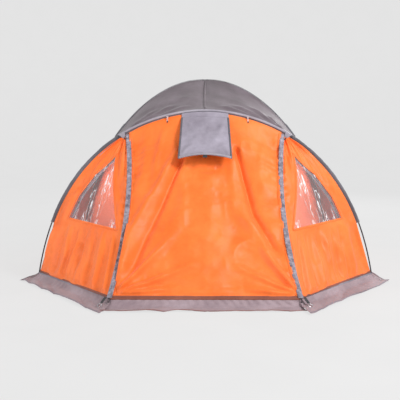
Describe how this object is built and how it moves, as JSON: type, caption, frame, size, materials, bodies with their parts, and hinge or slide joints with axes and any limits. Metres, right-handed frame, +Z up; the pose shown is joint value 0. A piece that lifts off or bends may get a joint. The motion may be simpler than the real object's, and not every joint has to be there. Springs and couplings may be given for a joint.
{
  "type": "dome tent",
  "caption": "Dome tent with two crossed inner poles, a front arch pole in sleeves, a zipped lifting porch door with vent hood, side windows, ground skirt and inner tent.",
  "frame": {"origin": "centre of the tent's box on the ground", "axes": "+X to the right seen from the front, +Y from the porch door to the rear, +Z up"},
  "size_m": [3.0642, 2.891, 1.725],
  "materials": {
    "roof_grey": "matt coated polyester, mauve grey",
    "fly_orange": "coated polyester taffeta, orange, slight sheen",
    "sleeve_grey": "matt polyester sleeve, dark grey",
    "trim_grey": "matt polyester, mid grey",
    "skirt_mauve": "matt coated polyester, pale mauve grey",
    "pole_fibreglass": "pultruded fibreglass with metal ferrules",
    "window_pvc": "clear flexible PVC film",
    "vent_mesh_black": "fine black insect mesh",
    "inner_cloth": "breathable polyester, warm beige",
    "groundsheet_grey": "coated polyethylene sheet",
    "webbing_black": "woven black webbing",
    "plastic_black": "moulded nylon",
    "zip_grey": "coil zip on woven tape",
    "steel": "zinc-plated steel"
  },
  "bodies": {
    "shell": {"roof_front": "roof_grey", "roof_left": "roof_grey", "roof_right": "roof_grey", "roof_rear": "roof_grey", "side_panel_left": "fly_orange", "side_panel_right": "fly_orange", "rear_panel": "fly_orange", "porch_panel_left": "fly_orange", "porch_panel_right": "fly_orange", "arch_sleeve_left": "sleeve_grey", "arch_sleeve_top": "sleeve_grey", "arch_sleeve_right": "sleeve_grey", "curtain_roll_left": "trim_grey", "curtain_roll_right": "trim_grey", "skirt_front_left": "skirt_mauve", "skirt_front_right": "skirt_mauve", "skirt_side_left": "skirt_mauve", "skirt_side_right": "skirt_mauve", "skirt_rear": "skirt_mauve", "arch_pole_1": "pole_fibreglass", "arch_pole_2": "pole_fibreglass", "arch_pole_3": "pole_fibreglass", "arch_pole_4": "pole_fibreglass", "dome_pole_a_1": "pole_fibreglass", "dome_pole_a_2": "pole_fibreglass", "dome_pole_a_3": "pole_fibreglass", "dome_pole_a_4": "pole_fibreglass", "dome_pole_b_1": "pole_fibreglass", "dome_pole_b_2": "pole_fibreglass", "dome_pole_b_3": "pole_fibreglass", "dome_pole_b_4": "pole_fibreglass", "window_left": "window_pvc", "window_right": "window_pvc", "inner_front": "inner_cloth", "inner_left": "inner_cloth", "inner_right": "inner_cloth", "inner_rear": "inner_cloth", "groundsheet": "groundsheet_grey", "corner_strap_left": "webbing_black", "corner_strap_right": "webbing_black", "arch_foot_left": "plastic_black", "arch_foot_right": "plastic_black", "zip_left": "zip_grey", "zip_right": "zip_grey", "peg_ring_left": "steel", "peg_ring_right": "steel"},
    "door": {"door_panel": "fly_orange", "door_skirt": "skirt_mauve", "vent_mesh": "vent_mesh_black", "zip_flap_left": "trim_grey", "zip_flap_right": "trim_grey", "door_hook_left": "plastic_black", "door_hook_right": "plastic_black"},
    "hood": {"vent_hood": "trim_grey"},
    "strut": {"vent_strut": "webbing_black"},
    "tie_left": {"door_tie_left": "plastic_black"},
    "tie_right": {"door_tie_right": "plastic_black"},
    "slider_left": {"zip_slider_left": "steel"},
    "slider_right": {"zip_slider_right": "steel"},
    "inner_door": {"inner_door": "inner_cloth"}
  },
  "joints": [
    {"name": "door_lift", "type": "hinge", "parent": "shell", "child": "door", "pos_m": [0, -0.45546, 1.35], "axis": [-1, 0, 0], "range_deg": [0, 60]},
    {"name": "hood_close", "type": "hinge", "parent": "door", "child": "hood", "pos_m": [0, -0.47546, 1.345], "axis": [1, 0, 0], "range_deg": [0, 9]},
    {"name": "strut_fold", "type": "hinge", "parent": "hood", "child": "strut", "pos_m": [0, -0.75533, 1.06596], "axis": [1, 0, 0], "range_deg": [0, 55]},
    {"name": "tie_left_swing", "type": "hinge", "parent": "shell", "child": "tie_left", "pos_m": [-0.306, -0.46446, 1.354], "axis": [-1, 0, 0], "range_deg": [0, 60]},
    {"name": "tie_right_swing", "type": "hinge", "parent": "shell", "child": "tie_right", "pos_m": [0.348, -0.46446, 1.35], "axis": [-1, 0, 0], "range_deg": [0, 60]},
    {"name": "zip_left_run", "type": "hinge", "parent": "shell", "child": "slider_left", "pos_m": [-4.95313, -0.80871, 0.73422], "axis": [0, -0.7968, 0.6043], "range_deg": [0, 17]},
    {"name": "zip_right_run", "type": "hinge", "parent": "shell", "child": "slider_right", "pos_m": [4.95313, -0.80871, 0.73422], "axis": [0, 0.7968, -0.6043], "range_deg": [0, 17]},
    {"name": "inner_door_swing", "type": "hinge", "parent": "shell", "child": "inner_door", "pos_m": [-0.418, -0.3885, 0.168], "axis": [0, 0.1795, 0.9838], "range_deg": [0, 90]}
  ],
  "couplings": [
    {"joint": "strut_fold", "follows": "hood_close", "ratio": 6.1},
    {"joint": "tie_left_swing", "follows": "door_lift", "ratio": 1},
    {"joint": "tie_right_swing", "follows": "door_lift", "ratio": 1}
  ]
}
